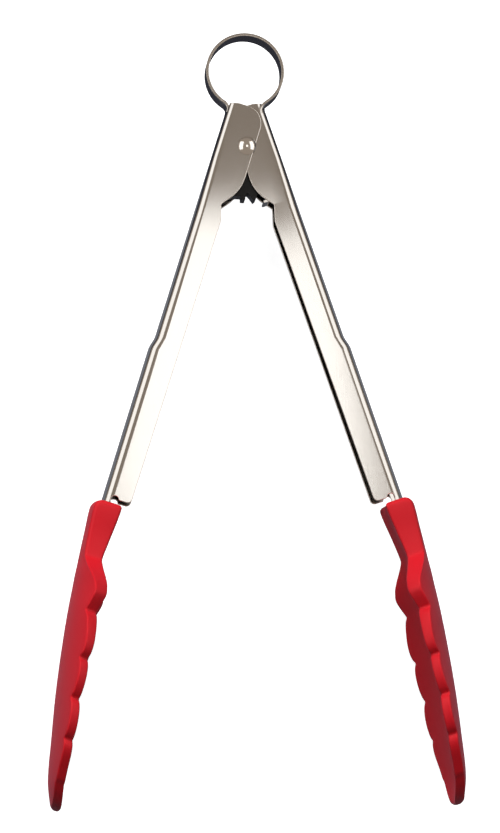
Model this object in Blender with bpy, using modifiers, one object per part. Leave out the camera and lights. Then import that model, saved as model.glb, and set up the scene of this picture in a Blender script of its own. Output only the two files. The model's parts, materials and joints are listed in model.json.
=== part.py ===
"""Spring kitchen tongs lying flat, open as they rest.

Two pressed steel channel arms turn about one rivet. A flat spring ring joins the tops of
their backs: it opens the arms and is the loop they hang by. A pawl inside the left arm
drops behind a cross strip of the right arm to hold the tongs shut. Each arm ends in a
tongue, with a steel blade inside a scalloped silicone head.

Every piece of an arm is drawn in that arm's own frame, which hangs from the pivot:
s runs down the arm from the pivot, q runs outwards to the arm's back, z is the pivot axis.
"""

import math

import bmesh
import bpy
from mathutils import Matrix, Vector

# Whole object
PIVOT_Y = 0.0817
MID_Z = 0.02145
ARM_ANGLE = math.radians(18.0)
GAP = 0.0003
SIDES = {"left": -1, "right": 1}

# Pressed channel of an arm
SHEET = 0.0008
CHANNEL_HALF = 0.00505
BEND_RADIUS = 0.002
BACK_UPPER = 0.0092
BACK_LOWER = 0.01005
BACK_END = 0.0098
STEP_START = 0.0635
STEP_END = 0.068
WEB_TOP = -0.0085
FLANGE_END = 0.1145
TONGUE_END = 0.128
TONGUE_EDGE = 0.007
LOBE_EDGE = -0.0024
LOBE_TOP = -0.0119
RELIEF_RADIUS = 0.0012

# The right arm's flanges are set inwards round the pivot, to run inside the left arm's
NEST = SHEET + GAP
NEST_END = 0.0195
NEST_RUNOUT = 0.0265

# Pivot
RIVET_RADIUS = 0.0014
RIVET_HEAD_RADIUS = 0.0028
RIVET_HEAD_HEIGHT = 0.0013
RIVET_TAIL_RADIUS = 0.0024
RIVET_TAIL_HEIGHT = 0.0009
RIVET_HOLE_RADIUS = 0.0017
SPACER_RADIUS = 0.0027

# Spring ring
RING_RADIUS = 0.01145
RING_CENTRE_Y = 0.0233
RING_STRIP = 0.0009
RING_HALF_WIDTH = 0.0039
RING_NECK_RADIUS = 0.0025

# Lock
CATCH_S = (0.0173, 0.018)
CATCH_Q = (-0.00055, 0.0018)
PAWL_AXIS = (0.01616, 0.00379)
PAWL_HALF_WIDTH = 0.0026
PAWL_BOSS_RADIUS = 0.0021
PAWL_LIFT = math.radians(17.0)
PIN_RADIUS = 0.0008
WASHER_RADIUS = 0.0016

# Silicone head and its blade
HEAD_TOP = 0.116
SCALLOP_CUSPS = (0.1335, 0.1495, 0.1633, 0.1752, 0.187, 0.1994)
SCALLOP_DEPTHS = (0.0009, 0.0028, 0.0027, 0.0027, 0.002)
RIM_ROUND = 0.0012
BLADE = 0.0008
BLADE_DEPTH = 0.0011
BLADE_MARGIN = 0.0025
BLADE_TOP = 0.1175
BLADE_END = 0.2025
SPREAD_START = 0.131
SPREAD_END = 0.142
BLADE_RIVETS = {"upper": 0.1205, "lower": 0.1255}
BLADE_RIVET_RADIUS = 0.0009
BLADE_RIVET_HEAD = 0.0016

# Head stations: distance down the arm, spine, half width at the scallops' cusps,
# wall thickness, and how fast the back falls away to each side (per metre of width squared)
HEAD_SHAPE = (
    (0.116, 0.0109, 0.0073, 0.0060, 12.0),
    (0.1166, 0.0119, 0.0080, 0.0074, 14.0),
    (0.1185, 0.0125, 0.0084, 0.0080, 20.0),
    (0.126, 0.0119, 0.0081, 0.0068, 22.0),
    (0.1335, 0.01125, 0.0085, 0.0055, 23.5),
    (0.136, 0.0110, 0.0107, 0.0053, 22.0),
    (0.1385, 0.0108, 0.0146, 0.0051, 21.0),
    (0.141, 0.01055, 0.0172, 0.0049, 20.5),
    (0.1495, 0.0096, 0.0168, 0.0040, 16.8),
    (0.1633, 0.0076, 0.0193, 0.0031, 13.8),
    (0.1752, 0.0055, 0.0193, 0.003, 11.0),
    (0.187, 0.003, 0.0185, 0.003, 9.5),
    (0.1994, 0.0002, 0.0137, 0.003, 11.0),
    (0.2035, -0.0011, 0.0096, 0.0032, 14.0),
    (0.206, -0.0022, 0.0055, 0.003, 20.0),
    (0.2072, -0.0033, 0.0021, 0.0016, 20.0),
)


def clear_scene():
    for obj in list(bpy.data.objects):
        bpy.data.objects.remove(obj, do_unlink=True)


def new_collection(name):
    collection = bpy.data.collections.new(name)
    bpy.context.scene.collection.children.link(collection)
    return collection


def new_material(name, colour, roughness, metallic):
    material = bpy.data.materials.new(name)
    material.use_nodes = True
    shader = material.node_tree.nodes["Principled BSDF"]
    shader.inputs["Base Color"].default_value = (*colour, 1.0)
    shader.inputs["Roughness"].default_value = roughness
    shader.inputs["Metallic"].default_value = metallic
    material.diffuse_color = (*colour, 1.0)
    return material


def new_object(name, mesh, material=None, parent=None, place=(0, 0, 0)):
    obj = bpy.data.objects.new(name, mesh)
    if material is None:
        CUTTERS.objects.link(obj)
        obj.hide_render = True
        obj.display_type = "WIRE"
    else:
        PARTS.objects.link(obj)
        mesh.materials.append(material)
    obj.parent = parent
    obj.location = place
    return obj


def new_frame(name, place, angle, parent=None):
    frame = bpy.data.objects.new(name, None)
    PARTS.objects.link(frame)
    frame.parent = parent
    frame.location = place
    frame.rotation_euler.z = angle
    return frame


def on_arm(side, s, q, z=0.0):
    """A point of an arm in its own frame."""
    return Vector((side * q, -s, z))


def smooth_step(value, start, end):
    t = min(max((value - start) / (end - start), 0.0), 1.0)
    return t * t * (3 - 2 * t)


def along(table, value, column):
    """A column of a table of stations, read between its rows."""
    for low, high in zip(table, table[1:]):
        if value <= high[0]:
            t = (value - low[0]) / (high[0] - low[0])
            return low[column] + (high[column] - low[column]) * max(t, 0.0)
    return table[-1][column]


def arc(centre, radius, start, end, steps):
    """Points from one angle to another, in degrees."""
    angles = [math.radians(start + (end - start) * i / steps) for i in range(steps + 1)]
    return [(centre[0] + radius * math.cos(a), centre[1] + radius * math.sin(a)) for a in angles]


def rounded(corners, steps=6):
    """A closed outline of (x, y, radius) corners, each turned into an arc."""
    outline = []
    for i, (x, y, radius) in enumerate(corners):
        here = Vector((x, y))
        if radius == 0:
            outline.append((x, y))
            continue
        before = (Vector(corners[i - 1][:2]) - here).normalized()
        after = (Vector(corners[(i + 1) % len(corners)][:2]) - here).normalized()
        half = before.angle(after) / 2
        centre = here + (before + after).normalized() * radius / math.sin(half)
        first = here + before * radius / math.tan(half) - centre
        last = here + after * radius / math.tan(half) - centre
        start = math.atan2(first.y, first.x)
        turned = math.remainder(math.atan2(last.y, last.x) - start, 2 * math.pi)
        for k in range(steps + 1):
            angle = start + turned * k / steps
            outline.append((centre.x + radius * math.cos(angle), centre.y + radius * math.sin(angle)))
    return outline


def plate(outline, half_width):
    """A flat outline, extruded to both sides of z = 0. It is filled at 1000 times its size."""
    curve = bpy.data.curves.new("outline", "CURVE")
    curve.dimensions = "2D"
    curve.fill_mode = "BOTH"
    curve.extrude = half_width * 1000
    spline = curve.splines.new("POLY")
    spline.points.add(len(outline) - 1)
    for point, (x, y) in zip(spline.points, outline):
        point.co = (x * 1000, y * 1000, 0, 1)
    spline.use_cyclic_u = True
    guide = bpy.data.objects.new("outline", curve)
    bpy.context.scene.collection.objects.link(guide)
    graph = bpy.context.evaluated_depsgraph_get()
    mesh = bpy.data.meshes.new_from_object(guide.evaluated_get(graph))
    bpy.data.objects.remove(guide, do_unlink=True)
    mesh.transform(Matrix.Scale(0.001, 4))
    tidy = bmesh.new()
    tidy.from_mesh(mesh)
    bmesh.ops.remove_doubles(tidy, verts=tidy.verts, dist=1e-6)
    bmesh.ops.recalc_face_normals(tidy, faces=tidy.faces)
    tidy.to_mesh(mesh)
    tidy.free()
    return mesh


def loft(sections, name="loft"):
    """A solid skinned over closed sections that all have as many points."""
    shape = bmesh.new()
    rings = [[shape.verts.new(point) for point in section] for section in sections]
    for ring, following in zip(rings, rings[1:]):
        for k in range(len(ring)):
            m = (k + 1) % len(ring)
            shape.faces.new((ring[k], ring[m], following[m], following[k]))
    shape.faces.new(rings[0])
    shape.faces.new(rings[-1])
    bmesh.ops.recalc_face_normals(shape, faces=shape.faces)
    mesh = bpy.data.meshes.new(name)
    shape.to_mesh(mesh)
    shape.free()
    return mesh


def rod(radius, half_length, sides=24):
    shape = bmesh.new()
    bmesh.ops.create_cone(
        shape, cap_ends=True, segments=sides, radius1=radius, radius2=radius, depth=2 * half_length
    )
    mesh = bpy.data.meshes.new("rod")
    shape.to_mesh(mesh)
    shape.free()
    return mesh


def block(low, high):
    shape = bmesh.new()
    bmesh.ops.create_cube(shape, size=1.0)
    for vert in shape.verts:
        for axis in range(3):
            vert.co[axis] = low[axis] if vert.co[axis] < 0 else high[axis]
    mesh = bpy.data.meshes.new("block")
    shape.to_mesh(mesh)
    shape.free()
    return mesh


def combine(obj, other, operation):
    modifier = obj.modifiers.new(operation.lower(), "BOOLEAN")
    modifier.operation = operation
    modifier.object = other
    modifier.solver = "EXACT"


def turn(obj, sides=32):
    """Turns an object's open profile about z into a solid."""
    screw = obj.modifiers.new("turned", "SCREW")
    screw.steps = sides
    screw.render_steps = sides
    screw.use_merge_vertices = True
    screw.merge_threshold = 1e-5


def profile(points):
    mesh = bpy.data.meshes.new("profile")
    edges = [(i, i + 1) for i in range(len(points) - 1)]
    mesh.from_pydata([(x, 0, z) for x, z in points], edges, [])
    return mesh


def back_of(s):
    """The outer face of an arm's back: it steps out half way down for the hand."""
    step = smooth_step(s, STEP_START, STEP_END) * (BACK_LOWER - BACK_UPPER)
    taper = smooth_step(s, STEP_END, FLANGE_END) * (BACK_END - BACK_LOWER)
    return BACK_UPPER + step + taper


def channel_section(side, s, half):
    """The U section of the pressed sheet at one station, open towards the other arm."""
    back = back_of(s)
    mouth = LOBE_EDGE - 0.004
    loop = []
    for inset, turn_steps in ((0.0, 5), (SHEET, 5)):
        radius = BEND_RADIUS - inset
        centre_q = back - BEND_RADIUS
        centre_z = half - BEND_RADIUS
        wall = [(mouth, half - inset)]
        wall += arc((centre_q, centre_z), radius, 90, 0, turn_steps)
        wall += arc((centre_q, -centre_z), radius, 0, -90, turn_steps)
        wall += [(mouth, inset - half)]
        loop += wall if inset == 0 else wall[::-1]
    return [on_arm(side, s, q, z) for q, z in loop]


def channel(side):
    """The channel along its whole length, before its side outline is cut."""
    stations = [LOBE_TOP - 0.002, NEST_END]
    stations += [NEST_END + (NEST_RUNOUT - NEST_END) * k / 6 for k in range(1, 7)]
    stations += [STEP_START + (STEP_END - STEP_START) * k / 6 for k in range(7)]
    stations += [0.075, 0.083, 0.091, 0.1, 0.108, FLANGE_END, TONGUE_END + 0.002]
    sections = []
    for s in stations:
        nest = NEST * (1 - smooth_step(s, NEST_END, NEST_RUNOUT)) if side > 0 else 0.0
        sections.append(channel_section(side, s, CHANNEL_HALF - nest))
    return loft(sections)


def side_outline(side):
    """An arm seen along the pivot: the lobe, the long edge, the end and the tongue."""
    behind = BACK_LOWER + 0.001
    corners = [
        (WEB_TOP, behind, 0),
        (WEB_TOP, 0.0078, 0),
        (-0.0106, 0.0074, 0.0008),
        (LOBE_TOP, 0.0056, 0.0015),
        (LOBE_TOP, LOBE_EDGE, 0.0055),
        (0.0138, LOBE_EDGE, 0.012),
        (0.0195, 0.0021, 0.0008),
        (0.0245, 0.0006, 0.004),
        (0.03, 0.0006, 0),
        (FLANGE_END, 0.0011, 0.0015),
        (FLANGE_END, TONGUE_EDGE, 0),
        (TONGUE_END, TONGUE_EDGE, 0),
        (TONGUE_END, behind, 0),
    ]
    return [(side * q, -s) for s, q in rounded(corners)]


def make_arm(name, side, frame, steel):
    arm = new_object(f"{name}_arm", channel(side), steel, frame)
    outline = new_object(f"{name}_outline", plate(side_outline(side), 0.009), None, frame)
    combine(arm, outline, "INTERSECT")
    if side > 0:
        low = on_arm(side, CATCH_S[1], CATCH_Q[0], NEST + SHEET / 2 - CHANNEL_HALF)
        high = on_arm(side, CATCH_S[0], CATCH_Q[1], CHANNEL_HALF - NEST - SHEET / 2)
        catch = new_object("catch_strip", block(low, high), None, frame)
        combine(arm, catch, "UNION")
    hole = new_object(f"{name}_rivet_hole", rod(RIVET_HOLE_RADIUS, 0.01), None, frame)
    combine(arm, hole, "DIFFERENCE")
    relief_place = on_arm(side, FLANGE_END + 0.0002, TONGUE_EDGE - 0.0009)
    relief = new_object(f"{name}_relief", rod(RELIEF_RADIUS, 0.01), None, frame, relief_place)
    combine(arm, relief, "DIFFERENCE")
    return arm


def make_rivet(steel):
    """One rivet through all four flanges: domed head in front, peened tail behind."""
    head_face = CHANNEL_HALF + GAP / 2
    dome_depth = RIVET_HEAD_HEIGHT
    dome = (RIVET_HEAD_RADIUS**2 + dome_depth**2) / (2 * dome_depth)
    sweep = math.asin(RIVET_HEAD_RADIUS / dome)
    centre = head_face + dome_depth - dome
    points = []
    for k in range(9):
        angle = sweep * k / 8
        points.append((dome * math.sin(angle), centre + dome * math.cos(angle)))
    points[0] = (0.0, head_face + dome_depth)
    points.append((RIVET_RADIUS, head_face))
    points.append((RIVET_RADIUS, -head_face))
    points.append((RIVET_TAIL_RADIUS, -head_face))
    points.append((RIVET_TAIL_RADIUS * 0.8, -head_face - RIVET_TAIL_HEIGHT))
    points.append((0.0, -head_face - RIVET_TAIL_HEIGHT))
    rivet = new_object("pivot_rivet", profile(points), steel, None, (0, PIVOT_Y, MID_Z))
    turn(rivet)


def make_spacer(steel):
    """A tube round the rivet that keeps the flanges apart when the tail is peened."""
    half = CHANNEL_HALF - NEST - SHEET - GAP
    spacer = new_object("pivot_spacer", rod(SPACER_RADIUS, half), steel, None, (0, PIVOT_Y, MID_Z))
    bore = new_object("spacer_bore", rod(RIVET_HOLE_RADIUS, 0.01), None, spacer)
    combine(spacer, bore, "DIFFERENCE")


def ring_path():
    """The strip's middle line, from the right arm's back round the loop to the left's."""
    middle = BACK_UPPER - SHEET / 2
    # the neck's centre lies off the arm's line, and outside the ring
    sine, cosine = math.sin(ARM_ANGLE), math.cos(ARM_ANGLE)
    reach = middle + RING_NECK_RADIUS
    a = 1 + (sine / cosine) ** 2
    b = -2 * (reach * sine / cosine**2 + RING_CENTRE_Y)
    c = (reach / cosine) ** 2 + RING_CENTRE_Y**2 - (RING_RADIUS + RING_NECK_RADIUS) ** 2
    neck_y = (-b - math.sqrt(b * b - 4 * a * c)) / (2 * a)
    neck_x = (reach - sine * neck_y) / cosine
    towards_ring = math.degrees(math.atan2(RING_CENTRE_Y - neck_y, -neck_x))
    foot = 180 + math.degrees(ARM_ANGLE)
    neck = arc((neck_x, neck_y), RING_NECK_RADIUS, foot, towards_ring, 6)
    half_loop = arc((0, RING_CENTRE_Y), RING_RADIUS, towards_ring - 180, 90, 22)
    right_half = neck + half_loop[1:]
    left_half = [(-x, y) for x, y in right_half[-2::-1]]
    return [Vector(point) for point in right_half + left_half]


def make_ring(spring_steel):
    path = ring_path()
    sections = []
    for i, point in enumerate(path):
        ahead = path[min(i + 1, len(path) - 1)] - path[max(i - 1, 0)]
        across = Vector((-ahead.y, ahead.x)).normalized() * RING_STRIP / 2
        section = []
        for edge, z in ((1, 1), (1, -1), (-1, -1), (-1, 1)):
            corner = point + across * edge
            section.append((corner.x, corner.y, z * RING_HALF_WIDTH))
        sections.append(section)
    new_object("spring_ring", loft(sections), spring_steel, None, (0, PIVOT_Y, MID_Z))


def make_lock(left_frame, black_steel, steel):
    """The pawl turns on a cross pin in the left arm. It is drawn dropped, then lifted."""
    pin_s, pin_q = PAWL_AXIS
    side = SIDES["left"]
    pawl_frame = new_frame("pawl_axis", on_arm(side, pin_s, pin_q), PAWL_LIFT, left_frame)
    hook = CATCH_Q[0] - 0.0024
    corners = [
        (PAWL_BOSS_RADIUS, -0.0004, 0.0012),
        (PAWL_BOSS_RADIUS, 0.0011, 0.0012),
        (0.0012, PAWL_BOSS_RADIUS, 0.0015),
        (-0.0012, PAWL_BOSS_RADIUS, 0.0015),
        (-PAWL_BOSS_RADIUS, 0.0005, 0.001),
        (-0.0022, -0.0065, 0.0012),
        (-0.0012, -0.0086, 0.0006),
        (0.0016, -0.0086, 0.0005),
        (0.0018, hook - pin_q, 0.0002),
        (0.0007, hook - pin_q, 0.0002),
        (0.0007, -0.0022, 0.001),
    ]
    outline = [(side * q, -s) for s, q in rounded(corners, 4)]
    pawl = new_object("lock_pawl", plate(outline, PAWL_HALF_WIDTH), black_steel, pawl_frame)
    bore = new_object("pawl_bore", rod(PIN_RADIUS + GAP, 0.01), None, pawl_frame)
    combine(pawl, bore, "DIFFERENCE")
    pin_half = CHANNEL_HALF - SHEET - GAP
    new_object("pawl_pin", rod(PIN_RADIUS, pin_half), steel, pawl_frame)
    washer_half = (pin_half - PAWL_HALF_WIDTH - GAP) / 2
    for name, end in (("front", 1), ("rear", -1)):
        place = (0, 0, end * (pin_half - washer_half))
        washer = new_object(f"pawl_washer_{name}", rod(WASHER_RADIUS, washer_half), steel, pawl_frame, place)
        combine(washer, bore, "DIFFERENCE")


def cusp_lift(s):
    """How far a scallop stands out beyond the line through its cusps."""
    for start, end, depth in zip(SCALLOP_CUSPS, SCALLOP_CUSPS[1:], SCALLOP_DEPTHS):
        if start <= s <= end:
            t = (s - start) / (end - start)
            return depth * math.sqrt(max(4 * t * (1 - t), 0.0))
    return 0.0


def head_section(side, s, across=8):
    """A section of the silicone: back, rounded rim, inner face, rounded rim."""
    spine = along(HEAD_SHAPE, s, 1)
    half = along(HEAD_SHAPE, s, 2) + cusp_lift(s)
    wall = along(HEAD_SHAPE, s, 3)
    fall = along(HEAD_SHAPE, s, 4)
    round_off = min(RIM_ROUND, wall * 0.48, half * 0.6)
    flat = half - round_off
    open_up = smooth_step(s, SCALLOP_CUSPS[0], SPREAD_END)

    def at_depth(z, depth):
        slope = math.atan(2 * fall * z) * open_up
        return (spine - fall * z * z - depth * math.cos(slope), z - depth * math.sin(slope))

    loop = [at_depth(flat * (2 * k / across - 1), 0.0) for k in range(across + 1)]
    for depth, start, end in ((round_off, 0, 90), (wall - round_off, 90, 180)):
        for k in (1, 2, 3):
            angle = math.radians(start + (end - start) * k / 3 - (0 if start == 0 else 30))
            q, z = at_depth(flat, depth - round_off * math.cos(angle))
            slope = math.atan(2 * fall * flat) * open_up
            out = round_off * math.sin(angle)
            loop.append((q - out * math.sin(slope), z + out * math.cos(slope)))
    inner = [at_depth(flat * (1 - 2 * k / across), wall) for k in range(across + 1)]
    rim = loop[across + 1 :]
    loop += inner
    loop += [(q, -z) for q, z in rim[::-1]]
    return [on_arm(side, s, q, z) for q, z in loop]


def head_stations():
    """Close together at the ends and over each scallop."""
    stations = [row[0] for row in HEAD_SHAPE[:4]]
    for start, end in zip(SCALLOP_CUSPS, SCALLOP_CUSPS[1:]):
        stations += [start + (end - start) * (1 - math.cos(math.pi * k / 8)) / 2 for k in range(8)]
    stations += [SCALLOP_CUSPS[-1], 0.2017, 0.2035, 0.205, 0.206, 0.2067, 0.2072]
    return stations


def blade_section(side, s, grow):
    """A section of the blade, or of its pocket when grown by the gap."""
    spine = along(HEAD_SHAPE, s, 1)
    fall = along(HEAD_SHAPE, s, 4)
    spread = smooth_step(s, SPREAD_START, SPREAD_END)
    outer = (BACK_END - SHEET - GAP) * (1 - spread) + (spine - BLADE_DEPTH) * spread
    narrow = CHANNEL_HALF - BEND_RADIUS
    half = narrow * (1 - spread) + (along(HEAD_SHAPE, s, 2) - BLADE_MARGIN) * spread
    half += grow
    across = 6
    loop = []
    for depth in (-grow, BLADE + grow):
        row = []
        for k in range(across + 1):
            z = half * (2 * k / across - 1)
            row.append((outer - fall * spread * z * z - depth, z))
        loop += row if depth < 0 or not loop else row[::-1]
    return [on_arm(side, s, q, z) for q, z in loop]


def blade_mesh(side, grow):
    top = BLADE_TOP - (0.01 if grow else 0.0)
    stations = [top]
    stations += [SPREAD_START + (SPREAD_END - SPREAD_START) * k / 10 for k in range(11)]
    stations += [0.1495, 0.1565, 0.1633, 0.1695, 0.1752, 0.181, 0.187, 0.193, 0.1985]
    stations.append(BLADE_END + grow)
    return loft([blade_section(side, s, grow) for s in stations])


def across_arm(side, s, q):
    """Where a round piece lies whose axis runs out through an arm's back."""
    return Matrix.Translation(on_arm(side, s, q)) @ Matrix.Rotation(side * math.pi / 2, 4, "Y")


def make_blade_rivets(name, side, frame, steel):
    """Two rivets hold the blade inside the tongue, under the silicone."""
    back = BACK_END
    blade_face = back - 2 * SHEET - GAP
    head_height = 0.0006
    for which, s in BLADE_RIVETS.items():
        points = [
            (0.0, back),
            (BLADE_RIVET_RADIUS, back),
            (BLADE_RIVET_RADIUS, blade_face - GAP),
            (BLADE_RIVET_HEAD, blade_face - GAP),
            (BLADE_RIVET_HEAD * 0.8, blade_face - GAP - head_height),
            (0.0, blade_face - GAP - head_height),
        ]
        rivet = new_object(f"{name}_blade_rivet_{which}", profile(points), steel, frame)
        rivet.matrix_local = across_arm(side, s, 0)
        turn(rivet, 20)
        hole = new_object(f"{name}_{which}_hole", rod(BLADE_RIVET_RADIUS + GAP, 0.002, 20), None, frame)
        hole.matrix_local = across_arm(side, s, back - SHEET)
        combine(bpy.data.objects[f"{name}_arm"], hole, "DIFFERENCE")
        combine(bpy.data.objects[f"{name}_blade"], hole, "DIFFERENCE")


def make_head(name, side, frame, silicone, steel):
    sections = [head_section(side, s) for s in head_stations()]
    head = new_object(f"{name}_head", loft(sections), silicone, frame)
    pocket = new_object(f"{name}_blade_pocket", blade_mesh(side, GAP), None, frame)
    combine(head, pocket, "DIFFERENCE")
    low = on_arm(side, TONGUE_END + GAP, TONGUE_EDGE - GAP, -CHANNEL_HALF - GAP)
    high = on_arm(side, HEAD_TOP - 0.002, BACK_LOWER + GAP, CHANNEL_HALF + GAP)
    low, high = [Vector(map(pick, low, high)) for pick in (min, max)]
    socket = new_object(f"{name}_tongue_socket", block(low, high), None, frame)
    combine(head, socket, "DIFFERENCE")
    new_object(f"{name}_blade", blade_mesh(side, 0.0), steel, frame)


def main():
    brushed = new_material("brushed_steel", (0.62, 0.6, 0.57), 0.3, 1.0)
    spring = new_material("spring_steel", (0.5, 0.48, 0.46), 0.2, 1.0)
    polished = new_material("polished_steel", (0.75, 0.74, 0.72), 0.1, 1.0)
    dark = new_material("blackened_steel", (0.02, 0.02, 0.02), 0.45, 0.6)
    red = new_material("red_silicone", (0.6, 0.02, 0.03), 0.45, 0.0)
    frames = {}
    for name, side in SIDES.items():
        frames[name] = new_frame(f"{name}_frame", (0, PIVOT_Y, MID_Z), side * ARM_ANGLE)
        make_arm(name, side, frames[name], brushed)
        make_head(name, side, frames[name], red, brushed)
        make_blade_rivets(name, side, frames[name], polished)
    make_rivet(polished)
    make_spacer(brushed)
    make_ring(spring)
    make_lock(frames["left"], dark, polished)


clear_scene()
PARTS = new_collection("kitchen_tongs")
CUTTERS = new_collection("cutters")
main()
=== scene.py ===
"""Spring kitchen tongs with scalloped silicone heads, lying open on a pale floor."""

import json
import math

import bmesh
import bpy
from mathutils import Matrix, Vector


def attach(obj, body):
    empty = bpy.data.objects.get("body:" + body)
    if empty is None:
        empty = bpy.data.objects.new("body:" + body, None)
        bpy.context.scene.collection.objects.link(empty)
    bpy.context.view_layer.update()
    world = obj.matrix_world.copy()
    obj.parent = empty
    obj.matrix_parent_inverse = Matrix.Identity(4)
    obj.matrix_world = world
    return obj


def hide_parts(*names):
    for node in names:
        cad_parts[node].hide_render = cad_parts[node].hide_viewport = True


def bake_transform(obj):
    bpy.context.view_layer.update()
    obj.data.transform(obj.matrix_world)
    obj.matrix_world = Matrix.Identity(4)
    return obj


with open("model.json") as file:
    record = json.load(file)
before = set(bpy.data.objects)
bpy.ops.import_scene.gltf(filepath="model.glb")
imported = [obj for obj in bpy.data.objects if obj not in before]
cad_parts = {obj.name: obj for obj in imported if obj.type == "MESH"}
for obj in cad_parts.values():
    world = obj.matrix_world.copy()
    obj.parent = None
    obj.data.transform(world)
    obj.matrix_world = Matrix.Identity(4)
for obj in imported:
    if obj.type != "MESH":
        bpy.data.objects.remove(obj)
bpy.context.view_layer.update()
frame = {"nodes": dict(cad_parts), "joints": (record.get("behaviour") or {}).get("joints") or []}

pivot = Vector(frame["joints"][0]["pos_m"])


# ---- Arms ------------------------------------------------------------------------------
# Two channels pressed from 0.8 mm stainless strip, brushed along their length. The right
# one's lobes lie inside the left's, and each channel ends in a tongue inside its silicone
# head. The lobes have no hole here, so the rivet's shank passes through the sheet.
ARM_ANGLE = math.radians(18.0)
SIDES = {"left": -1, "right": 1}
SHEET = 0.0008
CHANNEL_HALF = 0.00505
NEST, NEST_END = 0.0011, 0.0185
BEND_STEPS = 10
LOBE_BEND, GRIP_BEND = 0.0024, 0.0033
BACK_UPPER, BACK_LOWER, BACK_END = 0.0092, 0.01005, 0.0098
STEP_START, STEP_END = 0.0635, 0.068
WEB_TOP, BEND_TOP, LOBE_TOP = -0.0085, -0.0108, -0.0119
LOBE_EDGE = -0.0024
FLANGE_END, TONGUE_END, TONGUE_EDGE = 0.1145, 0.128, 0.007
RELIEF_RADIUS = 0.0012
EDGE_BREAK = 0.0002
CUTTER_HALF = 0.009
NOTCH_INSET = 0.00115
RELIEF_S, RELIEF_Q = FLANGE_END + 0.0002, TONGUE_EDGE - 0.0009


def on_arm(side, s, q, z=0.0):
    """A point s down an arm from the pivot, q outwards to its back and z along the pivot."""
    turn = Matrix.Rotation(side * ARM_ANGLE, 3, "Z")
    return pivot + turn @ Vector((side * q, -s, z))


def smooth_step(value, start, end):
    t = min(max((value - start) / (end - start), 0.0), 1.0)
    return t * t * (3 - 2 * t)


def arc(centre, radius, start, end, steps):
    """Points on a circle from one angle to another, in degrees."""
    angles = [math.radians(start + (end - start) * i / steps) for i in range(steps + 1)]
    return [(centre[0] + radius * math.cos(a), centre[1] + radius * math.sin(a)) for a in angles]


def rounded(corners, steps=8):
    """A closed outline of (x, y, radius) corners, each turned into an arc."""
    outline = []
    for i, (x, y, radius) in enumerate(corners):
        here = Vector((x, y))
        if radius == 0:
            outline.append((x, y))
            continue
        before = (Vector(corners[i - 1][:2]) - here).normalized()
        after = (Vector(corners[(i + 1) % len(corners)][:2]) - here).normalized()
        half = before.angle(after) / 2
        centre = here + (before + after).normalized() * radius / math.sin(half)
        first = here + before * radius / math.tan(half) - centre
        last = here + after * radius / math.tan(half) - centre
        start = math.atan2(first.y, first.x)
        turned = math.remainder(math.atan2(last.y, last.x) - start, 2 * math.pi)
        outline += arc(centre, radius, math.degrees(start), math.degrees(start + turned), steps)
    return outline


def new_piece(name, mesh, *materials):
    piece = bpy.data.objects.new(name, mesh)
    bpy.context.scene.collection.objects.link(piece)
    for material in materials:
        mesh.materials.append(material)
    return piece


def loft(name, sections):
    """A closed skin over sections that all have as many points."""
    skin = bmesh.new()
    rings = [[skin.verts.new(point) for point in section] for section in sections]
    for ring, following in zip(rings, rings[1:]):
        for k in range(len(ring)):
            m = (k + 1) % len(ring)
            skin.faces.new((ring[k], ring[m], following[m], following[k]))
    skin.faces.new(rings[0])
    skin.faces.new(rings[-1])
    bmesh.ops.recalc_face_normals(skin, faces=skin.faces)
    mesh = bpy.data.meshes.new(name)
    skin.to_mesh(mesh)
    skin.free()
    return mesh


def apply_modifiers(piece):
    """Puts what the modifiers make into the mesh and takes them off."""
    graph = bpy.context.evaluated_depsgraph_get()
    made = bpy.data.meshes.new_from_object(piece.evaluated_get(graph))
    piece.modifiers.clear()
    piece.data = made


def round_edges(piece, width, segments=3, angle=40, finish=None):
    """Breaks the sharp edges, with a material of their own if one is given."""
    bevel = piece.modifiers.new("edge_break", "BEVEL")
    bevel.width = width
    bevel.segments = segments
    bevel.limit_method = "ANGLE"
    bevel.use_clamp_overlap = finish is None
    bevel.angle_limit = math.radians(angle)
    if finish:
        piece.data.materials.append(finish)
        bevel.material = len(piece.data.materials) - 1
    apply_modifiers(piece)


def shade(piece, angle=35):
    """Smooth shading that keeps the flats flat."""
    piece.data.shade_smooth()
    piece.data.set_sharp_from_angle(angle=math.radians(angle))
    flats = piece.modifiers.new("flats", "WEIGHTED_NORMAL")
    flats.keep_sharp = True
    apply_modifiers(piece)


def linear(code):
    """An sRGB hex colour in linear light, with an alpha of 1."""
    channels = [int(code[i : i + 2], 16) / 255 for i in (1, 3, 5)]
    return [c / 12.92 if c <= 0.04045 else ((c + 0.055) / 1.055) ** 2.4 for c in channels] + [1.0]


def add_node(tree, kind, settings=(), links=()):
    """One node with its properties and sockets set and its inputs linked."""
    node = tree.nodes.new(kind)
    for key, value in dict(settings).items():
        if hasattr(node, str(key)):
            setattr(node, key, value)
        else:
            node.inputs[key].default_value = value
    for key, source in dict(links).items():
        tree.links.new(source, node.inputs[key])
    return node


def new_material(name):
    """A material with one Principled shader, returned with its tree and that shader."""
    material = bpy.data.materials.new(name)
    material.use_nodes = True
    tree = material.node_tree
    return material, tree, tree.nodes["Principled BSDF"]


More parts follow.
